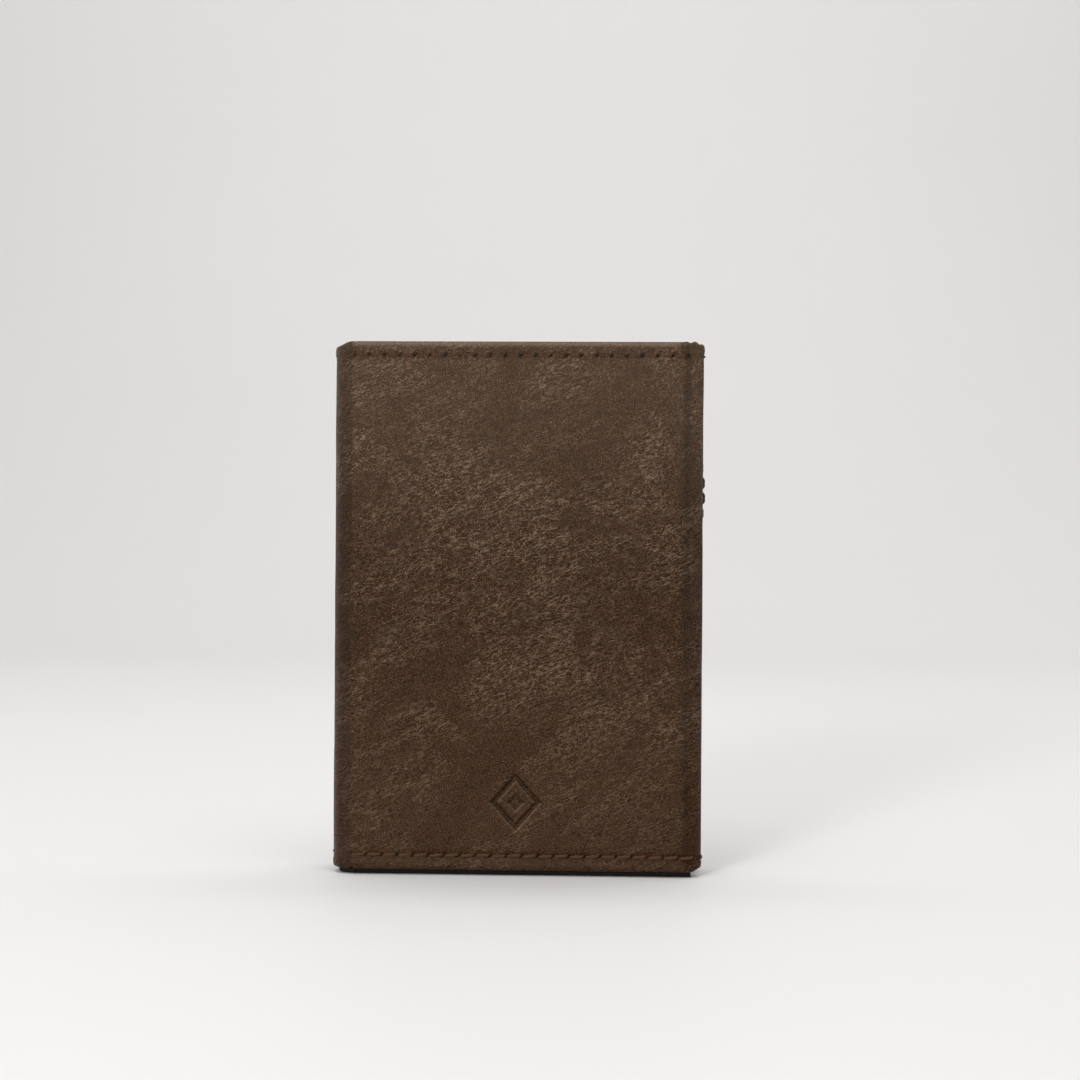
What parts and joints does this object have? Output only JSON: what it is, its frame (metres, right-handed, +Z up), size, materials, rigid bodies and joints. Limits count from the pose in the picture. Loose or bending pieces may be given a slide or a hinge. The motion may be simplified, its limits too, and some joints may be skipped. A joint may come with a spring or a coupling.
{
  "type": "trifold wallet",
  "caption": "Closed trifold leather wallet: three panels on two soft folds, card slots, identity window and a full-length note compartment.",
  "frame": {"origin": "centre of the closed wallet's footprint, on the surface it stands on", "axes": "+Z up along the folds, -Y out of the front flap that carries the emblem, +X to the right of that flap"},
  "size_m": [0.0774, 0.0148, 0.111],
  "materials": {
    "outer_leather": "semi-gloss, fine wrinkled grain",
    "pocket_leather": "satin, fine grain",
    "thread": "twisted polyester, satin",
    "black_board": "black bonded leather, matte",
    "black_lining": "black woven lining, matte",
    "clear_film": "clear flexible film, glossy"
  },
  "bodies": {
    "middle": {"middle_bill_lining_inner": "black_lining", "middle_bill_lining_outer": "black_lining", "middle_bottom_welt": "black_board", "middle_card_slot_high": "pocket_leather", "middle_card_slot_low": "pocket_leather", "middle_card_slot_mid": "pocket_leather", "middle_leather": "outer_leather", "middle_pocket_base": "pocket_leather", "middle_stiffener": "black_board", "middle_thread_pockets": "thread", "middle_thread_rear": "thread"},
    "left_fold": {"left_fold_leather": "outer_leather", "left_fold_lining": "black_lining", "left_fold_thread": "thread", "left_fold_welt": "black_board"},
    "front_flap": {"front_bill_lining_inner": "black_lining", "front_bill_lining_outer": "black_lining", "front_bottom_welt": "black_board", "front_card_slot_high": "pocket_leather", "front_card_slot_low": "pocket_leather", "front_card_slot_mid": "pocket_leather", "front_end_welt": "black_board", "front_leather": "outer_leather", "front_pocket_base": "pocket_leather", "front_stiffener": "black_board", "front_thread_bottom": "thread", "front_thread_pockets": "thread", "front_thread_top": "thread"},
    "right_fold": {"right_fold_leather": "outer_leather", "right_fold_lining": "black_lining", "right_fold_thread": "thread", "right_fold_welt": "black_board"},
    "back_flap": {"back_bill_lining_inner": "black_lining", "back_bill_lining_outer": "black_lining", "back_bottom_welt": "black_board", "back_end_welt": "black_board", "back_leather": "outer_leather", "back_pocket_base": "pocket_leather", "back_slip_pocket": "pocket_leather", "back_stiffener": "black_board", "back_thread_bottom": "thread", "back_thread_top": "thread", "back_thread_window": "thread", "back_window_film": "clear_film", "back_window_frame": "pocket_leather"}
  },
  "joints": [
    {"name": "left_fold_hinge", "type": "hinge", "parent": "middle", "child": "left_fold", "pos_m": [-0.03764, 0.00119, 0.0555], "axis": [0, 0, -1], "range_deg": [0, 90]},
    {"name": "front_flap_hinge", "type": "hinge", "parent": "left_fold", "child": "front_flap", "pos_m": [-0.03764, -0.00629, 0.0555], "axis": [0, 0, -1], "range_deg": [0, 90]},
    {"name": "right_fold_hinge", "type": "hinge", "parent": "middle", "child": "right_fold", "pos_m": [0.03704, -0.00119, 0.0555], "axis": [0, 0, -1], "range_deg": [0, 90]},
    {"name": "back_flap_hinge", "type": "hinge", "parent": "right_fold", "child": "back_flap", "pos_m": [0.03704, 0.00629, 0.0555], "axis": [0, 0, -1], "range_deg": [0, 90]}
  ],
  "couplings": [
    {"joint": "front_flap_hinge", "follows": "left_fold_hinge", "ratio": 1},
    {"joint": "back_flap_hinge", "follows": "right_fold_hinge", "ratio": 1}
  ]
}
